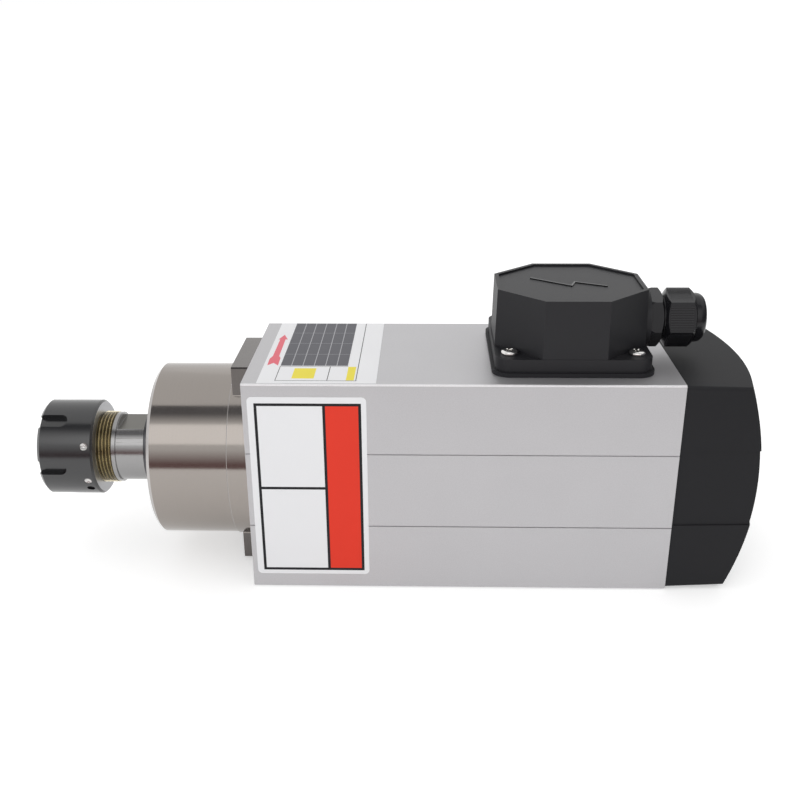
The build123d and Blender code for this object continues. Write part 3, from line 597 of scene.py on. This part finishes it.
def node_finishes(look):
    """The material of every CAD node."""
    # The bands along the body's two long top edges are a painted highlight.
    edges = band(
        look.edge_highlight_colour, 0.65, BODY_TOP, Line_Across=-BODY_NEAR, To_Distance=0.85 * MM,
        Edge=0.20 * MM,
    )
    blasted = grained(
        "Blasted Aluminium", look.body_colour, look.body_roughness, metallic=0.72,
        bump=0.25, distance=0.03 * MM, bands=(edges,), Grains_per_Metre=2100.0,
        Colour_Spread=0.26, Roughness_Spread=0.16,
    )
    # A painted highlight on the nose's front chamfer and on the disc's front edge.
    front_rim_highlight = band(look.rim_highlight_colour, 0.16, From_X=NOSE_FRONT - MM, To_X=NOSE_FRONT + 1.62 * MM)
    disc_rim_highlight = band(
        look.rim_highlight_colour, 0.20, From_X=DISC_FRONT - 0.1 * MM, To_X=DISC_FRONT + 0.42 * MM,
        From_Distance=37.5 * MM, To_Distance=38.6 * MM,
    )
    # The flange's tab is darkened: painted shade.
    tab = band(look.tab_shade_colour, 0.24, From_X=DISC_FRONT + 1.5 * MM, From_Distance=38.7 * MM)
    nose = turned_steel(
        "Plated Nose Steel", look.nose_colour, look.nose_roughness, bump=0.05,
        bands=(front_rim_highlight, disc_rim_highlight, tab),
    )
    cap = turned_steel("Turned Cap Steel", look.cap_colour, 0.34, bump=0.05)
    # The shaft under the thread takes the groove colour: oil and painted shade.
    groove_oil_and_shade = band(look.groove_oil_and_shade_colour, 0.30, To_X=COLLAR_FRONT)
    flats = band(
        look.flat_colour, 0.30, From_X=COLLAR_FRONT + 2.1 * MM, To_X=NOSE_FRONT,
        To_Distance=14.97 * MM, Edge=0.02 * MM,
    )
    shaft = turned_steel(
        "Ground Shaft Steel", look.shaft_colour, 0.20, bump=0.04, bands=(groove_oil_and_shade, flats),
        Rings_per_Metre=4200.0, Grain_Spread=0.25,
    )
    collet = turned_steel("Ground Collet Steel", (0.45, 0.45, 0.46), 0.22)
    rear_face = band(look.face_colour, 0.34, From_X=NUT[1].x - 0.03 * MM, Edge=0.01 * MM)
    oxide = grained(
        "Black Oxide Steel", look.nut_colour, 0.20, specular=0.92, bump=0.05,
        bands=(rear_face,), Grains_per_Metre=2200.0, Colour_Spread=0.25, Cloud_Spread=0.30,
    )
    bearing = turned_steel("Polished Bearing Steel", (0.62, 0.62, 0.64), 0.12)
    cage = grained("Machined Brass", (0.55, 0.38, 0.14), 0.35, metallic=1.0)
    lamination = turned_steel(
        "Laminated Core", (0.20, 0.21, 0.23), 0.45, bump=0.5, Rings_per_Metre=1000.0
    )
    copper = grained(
        "Varnished Copper", (0.52, 0.19, 0.07), 0.32, metallic=0.8, Grains_per_Metre=900.0
    )
    cast = grained("Cast Aluminium", (0.50, 0.51, 0.52), 0.5, metallic=1.0, bump=0.2)
    cover = grained(
        "Moulded Cover Plastic", look.cover_colour, 0.60, specular=0.22, bump=0.10,
        Grains_per_Metre=1900.0, Colour_Spread=0.20,
    )
    box = grained(
        "Textured Box Plastic", look.box_colour, 0.50, specular=0.36, bump=0.30,
        distance=0.05 * MM, Grains_per_Metre=1500.0, Colour_Spread=0.30,
    )
    fan = grained("Moulded Fan Plastic", (0.03, 0.03, 0.03), 0.55, bump=0.1)
    gland = grained(
        "Gland Nylon", look.gland_colour, 0.24, specular=0.36, bump=0.06,
        Grains_per_Metre=1800.0,
    )
    terminal = grained("Terminal Plastic", (0.62, 0.58, 0.48), 0.45)
    rubber = grained("Seal Rubber", (0.0120, 0.0120, 0.0145), 0.60, specular=0.30, bump=0.2)
    plated = grained("Plated Screw Steel", (0.80, 0.79, 0.77), 0.10, metallic=1.0)
    blackened = grained("Blackened Screw Steel", (0.05, 0.05, 0.055), 0.40, metallic=0.8)
    finishes = (
        (blasted, "motor_body"),
        (nose, "front_bearing_housing"),
        (cap, "front_seal_cap", "bearing_retainer"),
        (blackened, "tie_bolts", "bearing_lock_nut", "fan_clip", "cover_screws"),
        (cast, "rear_end_shield", "rotor_end_rings"),
        (bearing, "front_bearing_outer_rings", "front_bearing_inner_rings"),
        (bearing, "rear_bearing_outer_ring", "rear_bearing_inner_ring", "wave_spring"),
        (cage, "front_ball_cages", "rear_ball_cage"),
        (lamination, "stator_core", "rotor_core"),
        (copper, "stator_windings"),
        (shaft, "spindle_shaft"),
        (collet, "collet"),
        (oxide, "collet_nut"),
        (fan, "cooling_fan"),
        (cover, "rear_fan_cover"),
        (box, "terminal_box_cover"),
        (rubber, "terminal_box_gasket", "gland_seal"),
        (plated, "box_screws"),
        (terminal, "terminal_block"),
        (gland, "gland_body", "gland_lock_nut", "gland_dome_nut"),
    )
    return {node: material for material, *nodes in finishes for node in nodes}


# ---- trees for what repeats --------------------------
def thread_tree():
    """A helical ridge about Z: a trapezium swept along a spiral."""
    numbers = {
        "Radius": 0.0155, "Length": 0.02, "Turns": 14.0, "Ridge Height": 0.0006,
        "Root Width": 0.0014, "Crest Width": 0.0002,
    }
    tree, given, end = geometry_tree("Helical Ridge", numbers)
    turns = {
        "Resolution": 96, "Rotations": given["Turns"], "Start Radius": given["Radius"],
        "End Radius": given["Radius"], "Height": given["Length"], "Reverse": True,
    }
    spiral = {"Curve": add_node(tree, "GeometryNodeCurveSpiral", turns)}
    upright = add_node(tree, "GeometryNodeSetCurveNormal", spiral, mode="Z_UP")
    ridge = {"Height": given["Ridge Height"], "Offset": 0.0}
    ridge |= {"Bottom Width": given["Root Width"], "Top Width": given["Crest Width"]}
    kind = "GeometryNodeCurvePrimitiveQuadrilateral"
    section = add_node(tree, kind, ridge, mode="TRAPEZOID")
    sweep = {"Curve": upright, "Profile Curve": section, "Fill Caps": True}
    return end_tree(tree, given, end, add_node(tree, "GeometryNodeCurveToMesh", sweep))


def instances(tree, points, instance, **more):
    """Copies of a geometry on points."""
    values = {"Points": points, "Instance": instance, **more}
    return add_node(tree, "GeometryNodeInstanceOnPoints", values)


def corner_tree():
    """Four copies of an object at the corners of a rectangle, each turned by chance."""
    inputs = {
        "Spacing X": 0.05, "Spacing Y": 0.05, "Fastener": "NodeSocketObject", "Seed": 3,
    }
    tree, given, end = geometry_tree("Corner Fasteners", inputs)
    sizes = {"Size X": given["Spacing X"], "Size Y": given["Spacing Y"]}
    sizes |= {"Vertices X": 2, "Vertices Y": 2}
    corners = add_node(tree, "GeometryNodeMeshGrid", sizes)
    fastener = add_node(tree, "GeometryNodeObjectInfo", {"Object": given["Fastener"]})
    largest, number = 3, 1  # the sockets of a random number's upper limit and result
    chance = {largest: QUARTER, "Seed": given["Seed"]}
    turn = add_node(tree, "FunctionNodeRandomValue", chance, data_type="FLOAT")
    spin = vector(tree, Z=turn.outputs[number])
    placed = instances(tree, corners, fastener.outputs["Geometry"], Rotation=spin)
    return end_tree(tree, given, end, placed)


def rib_tree():
    """Rows of straight ribs on the flats of a hexagon about Z."""
    inputs = {
        "Apothem": 0.0107, "Rib Width": 0.0004, "Rib Height": 0.0003, "Rib Length": 0.008,
        "Ribs": 9, "Flats": 6,
    }
    tree, given, end = geometry_tree("Grip Ribs", inputs)
    width, ribs, flats = given["Rib Width"], given["Ribs"], given["Flats"]
    depth = maths(tree, "MULTIPLY", given["Rib Height"], 2.0)
    size = vector(tree, X=depth, Y=width, Z=given["Rib Length"])
    rib = add_node(tree, "GeometryNodeMeshCube", {"Size": size})
    pitch = maths(tree, "MULTIPLY", width, 2.0)
    reach = maths(tree, "MULTIPLY", maths(tree, "SUBTRACT", ribs, 1.0), width)
    first = vector(tree, X=given["Apothem"], Y=maths(tree, "MULTIPLY", reach, -1.0))
    line = {"Count": ribs, "Start Location": first, "Offset": vector(tree, Y=pitch)}
    row = instances(tree, add_node(tree, "GeometryNodeMeshLine", line), rib)
    hub = add_node(tree, "GeometryNodeMeshLine", {"Count": flats, "Offset": (0, 0, 0)})
    share = maths(tree, "DIVIDE", add_node(tree, "GeometryNodeInputIndex"), flats)
    turn = vector(tree, Z=maths(tree, "MULTIPLY", share, 4 * QUARTER))
    return end_tree(tree, given, end, instances(tree, hub, row, Rotation=turn))


def table_tree():
    """A table of thin cells, drawn as blocks on a grid."""
    inputs = {
        "Columns": 6, "Rows": 4, "Cell X": 0.004, "Cell Y": 0.014, "Gap": 0.0003,
        "Thickness": 0.0001,
    }
    tree, given, end = geometry_tree("Table Cells", inputs)
    size = vector(tree, X=given["Cell X"], Y=given["Cell Y"], Z=given["Thickness"])
    block = add_node(tree, "GeometryNodeMeshCube", {"Size": size})
    places = {"Vertices X": given["Columns"], "Vertices Y": given["Rows"]}
    for axis, count in (("X", "Columns"), ("Y", "Rows")):
        pitch = maths(tree, "ADD", given["Cell " + axis], given["Gap"])
        gaps = maths(tree, "SUBTRACT", given[count], 1.0)
        places["Size " + axis] = maths(tree, "MULTIPLY", pitch, gaps)
    grid = add_node(tree, "GeometryNodeMeshGrid", places)
    return end_tree(tree, given, end, instances(tree, grid, block))


# ---- operators ---------------------------------------
class SPINDLE_OT_finish_nodes(bpy.types.Operator):
    """Gives every solid of the spindle its finish"""

    bl_idname = "spindle.finish_nodes"
    bl_label = "Finish Solids"

    def execute(self, context):
        materials = node_finishes(context.scene.spindle_finishes)
        for name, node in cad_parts.items():
            node.data.materials.clear()
            node.data.materials.append(materials[name])
        return {"FINISHED"}


class SPINDLE_OT_chuck_thread(bpy.types.Operator):
    """Winds the thread of the collet chuck round the shaft"""

    bl_idname = "spindle.chuck_thread"
    bl_label = "Chuck Thread"

    def execute(self, context):
        settings = context.scene.spindle_thread
        colours = context.scene.spindle_finishes
        # The thread's crests get a painted highlight; its grooves are oil with painted shade.
        crest = band(
            colours.crest_highlight_colour, 0.28, From_Distance=settings.crest_radius - CREST_DEPTH,
            Edge=0.12 * MM,
        )
        steel = turned_steel(
            "Oiled Thread Steel with Painted Shade and Highlights", colours.groove_oil_and_shade_colour, 0.30, bands=(crest,),
            Colour_Spread=0.3, Rings_per_Metre=900.0, Grain_Spread=0.6,
        )
        run = settings.rear - settings.front
        values = {
            "Radius": settings.crest_radius - settings.depth / 2, "Length": run,
            "Turns": run / settings.pitch, "Ridge Height": settings.depth,
            "Root Width": settings.pitch * ROOT_SHARE, "Crest Width": settings.crest_width,
            "Material": steel,
        }
        along = lay(settings.front, ROTOR_HEIGHT, (QUARTER, "Y"))
        thread = grow("chuck_thread", thread_tree(), values, along, smooth_angle=25)
        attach(thread, "spindle")
        return {"FINISHED"}


class SPINDLE_OT_plates(bpy.types.Operator):
    """Lays the bare side plate and the rating table with its direction arrow"""

    bl_idname = "spindle.plates"
    bl_label = "Plates"

    def execute(self, context):
        settings = context.scene.spindle_plates
        prints = {
            name: grained(name, tint, roughness, specular=specular, Colour_Spread=spread)
            for name, tint, roughness, specular, spread in (
                ("Plate Film", settings.film_colour, 0.30, 0.30, 0.03),
                ("Dark Print", settings.line_colour, 0.38, 0.14, 0.10),
                ("Red Print", settings.panel_colour, 0.34, 0.14, 0.04),
                ("Arrow Print", settings.arrow_colour, 0.36, 0.14, 0.04),
                ("Table Print", settings.grid_colour, 0.40, 0.14, 0.12),
                ("Table Ground", settings.ground_colour, 0.40, 0.14, 0.08),
                ("Yellow Print", settings.block_colour, 0.36, 0.14, 0.05),
            )
        }
        face = settings.thickness
        printed = face + settings.print_thickness

        def print_shapes(name, outlines, place, finish, low=face / 2, high=printed):
            bm = bmesh.new()
            for outline in outlines:
                add_slab(bm, outline, low, high, place)
            piece = finish_bmesh(name, bm, prints[finish])
            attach(piece, "housing")

        side = rounded_outline(*SIDE_PLATE, settings.corner_radius / MM)
        print_shapes("side_plate", [side], on_side, "Plate Film", 0.0, face)
        top = rounded_outline(*TOP_PLATE, TOP_CORNER)
        print_shapes("top_plate", [top], on_top, "Plate Film", 0.0, face)

        bars, panel = self.side_print(settings.frame_width / MM)
        print_shapes("side_plate_lines", bars, on_side, "Dark Print")
        print_shapes("side_plate_panel", [panel], on_side, "Red Print")
        print_shapes("top_plate_arrow", [ARROW], on_top, "Arrow Print")
        print_shapes("top_plate_ground", [rectangle(*TABLE_GROUND)], on_top, "Table Ground")
        cell = {"Thickness": settings.print_thickness * 2, "Material": prints["Table Print"]}
        u, v = TABLE_CENTRE
        middle = Matrix.Translation(on_top(u * MM, v * MM, printed))
        cells = grow("top_plate_table", table_tree(), TABLE_CELLS | cell, middle)
        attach(cells, "housing")
        lines = [rectangle(*line) for line in TOP_LINES]
        print_shapes("top_plate_lines", lines, on_top, "Dark Print")
        blocks = [rectangle(*block) for block in TOP_BLOCKS]
        print_shapes("top_plate_blocks", blocks, on_top, "Yellow Print")
        return {"FINISHED"}

    def side_print(self, width):
        """The side plate's bars of that width, and its panel."""
        left, low, right, high = SIDE_FRAME
        x0, y0, x1, y1 = left + width, low + width, right - width, high - width
        before, after = SIDE_SPLIT - width / 2, SIDE_SPLIT + width / 2
        bars = (
            (left, low, x0, high), (x1, low, right, high), (x0, y1, x1, high),
            (x0, low, x1, y0), (before, y0, after, y1),
            (x0, SIDE_MIDDLE - width / 2, before, SIDE_MIDDLE + width / 2),
        )
        return [rectangle(*bar) for bar in bars], rectangle(after, y0, x1, y1)


class SPINDLE_OT_box_screws(bpy.types.Operator):
    """Puts cross-recessed pan-head screws at the terminal box's corners"""

    bl_idname = "spindle.box_screws"
    bl_label = "Box Screws"

    def execute(self, context):
        settings = context.scene.spindle_screws
        radius, height = settings.head_radius, settings.head_height
        profile = [
            (0, SCREW_FOOT), (SHANK_RADIUS, SCREW_FOOT), (SHANK_RADIUS, HEAD_LOW),
            (radius * HEAD_LOW_SHARE, HEAD_LOW), (radius, HEAD_SIDE),
            *((radius * across, height * up) for across, up in PAN_HEAD), (0, height),
        ]
        bm = bmesh.new()
        lathe(bm, profile, segments=40)
        screw = finish_bmesh("pan_head_screw", bm)
        cutter = self.cross_cutter(settings)
        modifier = screw.modifiers.new("Recess", "BOOLEAN")
        modifier.operation = "DIFFERENCE"
        modifier.solver = "EXACT"
        modifier.object = cutter
        depsgraph = bpy.context.evaluated_depsgraph_get()
        mesh = bpy.data.meshes.new_from_object(screw.evaluated_get(depsgraph))
        screw.modifiers.clear()
        screw.data = mesh
        size = SCREWS[1] - SCREWS[0]
        values = {
            "Spacing X": size.x - SOLID_HEAD_WIDTH, "Spacing Y": size.y - SOLID_HEAD_WIDTH,
            "Fastener": screw, "Seed": 5, "Material": bpy.data.materials["Plated Screw Steel"],
        }
        seat = lay(BOX_CENTRE_X, SCREW_SEAT)
        screws = grow("pan_head_screws", corner_tree(), values, seat, smooth_angle=35)
        bpy.data.objects.remove(screw)
        bpy.data.objects.remove(cutter)
        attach(screws, "housing")
        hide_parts("box_screws")
        return {"FINISHED"}

    def cross_cutter(self, settings):
        """A cross-shaped plug that narrows downwards."""
        reach, half = settings.recess_radius, settings.recess_width / 2
        corner = (Vector((-reach, -half)), Vector((-half, -half)), Vector((-half, -reach)))
        turns = [Matrix.Rotation(QUARTER * quarter, 2) for quarter in range(4)]
        outline = [turn @ point for turn in turns for point in corner]
        floor = settings.head_height - settings.recess_depth
        top = settings.head_height + 0.2 * MM
        bm = bmesh.new()
        lower, upper = (
            [bm.verts.new((*point * share, z)) for point in outline]
            for z, share in ((floor, RECESS_FLOOR_SHARE), (top, 1.0))
        )
        for i in range(len(outline)):
            bm.faces.new((lower[i - 1], lower[i], upper[i], upper[i - 1]))
        bm.faces.new(lower)
        bm.faces.new(upper)
        return finish_bmesh("cross_cutter", bm)


class SPINDLE_OT_box_sign(bpy.types.Operator):
    """Moulds the zigzag sign on the terminal box's top panel"""

    bl_idname = "spindle.box_sign"
    bl_label = "Box Sign"

    def execute(self, context):
        bm = bmesh.new()
        outline = self.widen(SIGN_PATH, SIGN_HALF_WIDTH)
        add_slab(bm, outline, SIGN_LOW, SIGN_HIGH, on_panel)
        sign = finish_bmesh("box_sign", bm, bpy.data.materials["Gland Nylon"])
        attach(sign, "housing")
        return {"FINISHED"}

    def widen(self, path, half):
        """The outline of a line of even width through the points of path."""
        points = [Vector(point) for point in path]
        steps = [(b - a).normalized() for a, b in zip(points, points[1:])]
        left, right = [], []
        for here, a, b in zip(points, steps[:1] + steps, steps + steps[-1:]):
            normal = Vector((-a.y - b.y, a.x + b.x)).normalized()
            stretch = half / max(1 / MITRE_LIMIT, normal.dot(Vector((-a.y, a.x))))
            left.append(tuple(here + normal * stretch))
            right.append(tuple(here - normal * stretch))
        return right + left[::-1]


class SPINDLE_OT_gland_ribs(bpy.types.Operator):
    """Ribs the flats of the gland's dome nut"""

    bl_idname = "spindle.gland_ribs"
    bl_label = "Gland Ribs"

    def execute(self, context):
        settings = context.scene.spindle_gland
        values = {
            "Apothem": settings.across_flats / 2, "Rib Width": settings.rib_width,
            "Rib Height": settings.rib_height, "Rib Length": settings.rib_length,
            "Ribs": settings.rib_count, "Flats": 6,
            # The ribs' nylon is a little lighter than the gland's: a painted highlight that
            # makes the ribs show.
            "Material": grained("Ribbed Nylon with Painted Highlight", (0.0125, 0.0125, 0.0145), 0.32, specular=0.38),
        }
        turns = ((settings.tilt - QUARTER, "X"), (QUARTER, "Y"), (QUARTER, "Z"))
        around = lay(RIBS_MIDDLE, GLAND_HEIGHT, *turns)
        ribs = grow("gland_nut_ribs", rib_tree(), values, around)
        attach(ribs, "gland_nut")
        return {"FINISHED"}


class SPINDLE_OT_seal_hub(bpy.types.Operator):
    """Turns the seal cap with a narrow hub beyond the nose"""

    bl_idname = "spindle.seal_hub"
    bl_label = "Seal Hub"

    def execute(self, context):
        hub = context.scene.spindle_finishes.hub_radius
        rim = (CAP[1].z - CAP[0].z) / 2
        front, rear = CAP[0].x, CAP[1].x
        step = NOSE_FRONT + SEAL_BEVEL
        profile = [
            (SEAL_BORE, front), (hub - SEAL_BEVEL, front), (hub, front + SEAL_BEVEL),
            (hub, step), (rim - SEAL_BEVEL, step), (rim, step + SEAL_BEVEL),
            (rim, rear), (SEAL_BORE, rear), (SEAL_BORE, front),
        ]
        steel = bpy.data.materials["Turned Cap Steel"]
        bm = bmesh.new()
        lathe(bm, profile, 96, lay(0, ROTOR_HEIGHT, (QUARTER, "Y")))
        cap = finish_bmesh("stepped_seal_cap", bm, steel, smooth_angle=35)
        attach(cap, "housing")
        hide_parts("front_seal_cap")
        return {"FINISHED"}


class SPINDLE_OT_balance_marks(bpy.types.Operator):
    """Brightens the drilled balance marks of the collet nut"""

    bl_idname = "spindle.balance_marks"
    bl_label = "Balance Marks"

    def execute(self, context):
        steel = turned_steel("Drilled Steel", (0.62, 0.61, 0.60), 0.22, Grain_Spread=0.3)
        profile = [(radius, MARK_FLOOR + z) for radius, z in MARK_PROFILE]
        bm = bmesh.new()
        for degrees in MARK_ANGLES:
            lathe(bm, profile, 24, lay(MARK_X, ROTOR_HEIGHT, (math.radians(degrees), "X")))
        mesh = bpy.data.meshes.new("balance_marks")
        bm.to_mesh(mesh)
        bm.free()
        marks = add_piece("balance_marks", mesh, steel, smooth_angle=60)
        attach(marks, "nut")
        return {"FINISHED"}


class SPINDLE_OT_stage(bpy.types.Operator):
    """Sets the floor, the lamps and the camera"""

    bl_idname = "spindle.stage"
    bl_label = "Stage"

    def execute(self, context):
        self.add_floor()
        self.add_world(context.scene)
        self.add_lamps()
        self.add_cards()
        self.add_camera(context.scene)
        context.scene.view_settings.view_transform = "Standard"
        return {"FINISHED"}

    def background_mask(self, tree):
        """1 for what the camera, a reflection or a glass sees directly."""
        path = tree.nodes.new("ShaderNodeLightPath").outputs
        seen = path["Is Camera Ray"]
        for other in ("Is Glossy Ray", "Is Transmission Ray"):
            seen = maths(tree, "MAXIMUM", seen, path[other])
        return seen

    def add_floor(self):
        """A pale floor that looks white where it is seen directly."""
        material, tree = new_material("Studio Floor")
        glow = maths(tree, "MULTIPLY", self.background_mask(tree), FLOOR_GLOW)
        shader = {"Base Color": (0.8, 0.8, 0.8, 1), "Roughness": 1.0, "Specular IOR Level": 0.0}
        shader |= {"Emission Color": WHITE, "Emission Strength": glow}
        fill(tree.nodes["Principled BSDF"], shader)
        bm = bmesh.new()
        low = Matrix.Translation((0, 0, FLOOR_HEIGHT))
        bmesh.ops.create_grid(bm, x_segments=1, y_segments=1, size=FLOOR_SIZE, matrix=low)
        floor = finish_bmesh("floor", bm, material)

    def add_world(self, scene):
        """A white world, a little dimmer as a light than as a background."""
        world = bpy.data.worlds.new("Studio World")
        scene.world = world
        world.use_nodes = True
        tree = world.node_tree
        level = mix(tree, "FLOAT", self.background_mask(tree), WORLD_LIGHT, 1.0)
        fill(tree.nodes["Background"], {"Color": WHITE, "Strength": level})

    def add_lamps(self):
        """Wide soft lamps: one over the front, one low in front, one behind."""
        for name, place, size, power, mirrored in LAMPS:
            data = bpy.data.lights.new(name, "AREA")
            data.shape = "DISK"
            data.size = size
            data.energy = power
            lamp = add_object(name, data)
            lamp.location = place
            lamp.visible_glossy = mirrored
            aim = (LAMP_TARGET - Vector(place)).to_track_quat("-Z", "Y")
            lamp.rotation_euler = aim.to_euler()

    def add_cards(self):
        """Dark cards that only reflections see: overhead, in front and at the right."""
        for name, across, level, corners, axis, fade, dark in CARDS:
            bm = bmesh.new()
            points = [list(point) for point in rectangle(*corners)]
            for point in points:
                point.insert(across, level)
            bm.faces.new([bm.verts.new(point) for point in points])
            card = finish_bmesh(name, bm, self.card_material(name, axis, fade, dark))
            card.visible_camera = False
            card.visible_diffuse = False
            card.visible_shadow = False

    def card_material(self, name, axis, fade, dark):
        """A dark glow that fades to white along one axis."""
        material, tree = new_material(name)
        tree.nodes.remove(tree.nodes["Principled BSDF"])
        _, axes = split_place(tree)
        reach = {"Value": axes[axis], "From Min": fade[0], "From Max": fade[1]}
        share = add_node(tree, "ShaderNodeMapRange", reach)
        tint = mix(tree, "RGBA", share, (*dark, 1), WHITE)
        glow = add_node(tree, "ShaderNodeEmission", {"Color": tint})
        fill(tree.nodes["Material Output"], {"Surface": glow})
        return material

    def add_camera(self, scene):
        """The main view's camera."""
        data = bpy.data.cameras.new("camera")
        for key, value in CAMERA.items():
            setattr(data, key, value)
        camera = add_object("camera", data)
        camera.location = CAMERA_PLACE
        camera.rotation_euler = [math.radians(a) for a in CAMERA_DEGREES]
        scene.camera = camera


# ---- panel and registration --------------------------
OPERATORS = (
    SPINDLE_OT_stage,
    SPINDLE_OT_finish_nodes,
    SPINDLE_OT_chuck_thread,
    SPINDLE_OT_plates,
    SPINDLE_OT_box_screws,
    SPINDLE_OT_box_sign,
    SPINDLE_OT_gland_ribs,
    SPINDLE_OT_seal_hub,
    SPINDLE_OT_balance_marks,
)

SETTINGS = (
    ("spindle_finishes", SPINDLE_PG_finishes),
    ("spindle_thread", SPINDLE_PG_thread),
    ("spindle_plates", SPINDLE_PG_plates),
    ("spindle_screws", SPINDLE_PG_screws),
    ("spindle_gland", SPINDLE_PG_gland),
)


class SPINDLE_PT_sidebar(bpy.types.Panel):
    """Steps and settings of the spindle"""

    bl_idname = "SPINDLE_PT_sidebar"
    bl_label = "Motor Spindle"
    bl_space_type = "VIEW_3D"
    bl_region_type = "UI"
    bl_category = "Spindle"

    def draw(self, context):
        for operator in OPERATORS:
            self.layout.operator(operator.bl_idname)
        for name, group in SETTINGS:
            section = self.layout.box()
            for key in group.__annotations__:
                section.prop(getattr(context.scene, name), key)


def register():
    for cls in (*(group for _, group in SETTINGS), *OPERATORS, SPINDLE_PT_sidebar):
        bpy.utils.register_class(cls)
    for name, group in SETTINGS:
        setattr(bpy.types.Scene, name, bpy.props.PointerProperty(type=group))


def unregister():
    for name, _ in SETTINGS:
        delattr(bpy.types.Scene, name)
    for cls in (SPINDLE_PT_sidebar, *OPERATORS, *(group for _, group in SETTINGS)):
        bpy.utils.unregister_class(cls)


def main():
    register()
    for operator in OPERATORS:
        area, name = operator.bl_idname.split(".")
        getattr(getattr(bpy.ops, area), name)()


if __name__ == "__main__":
    main()
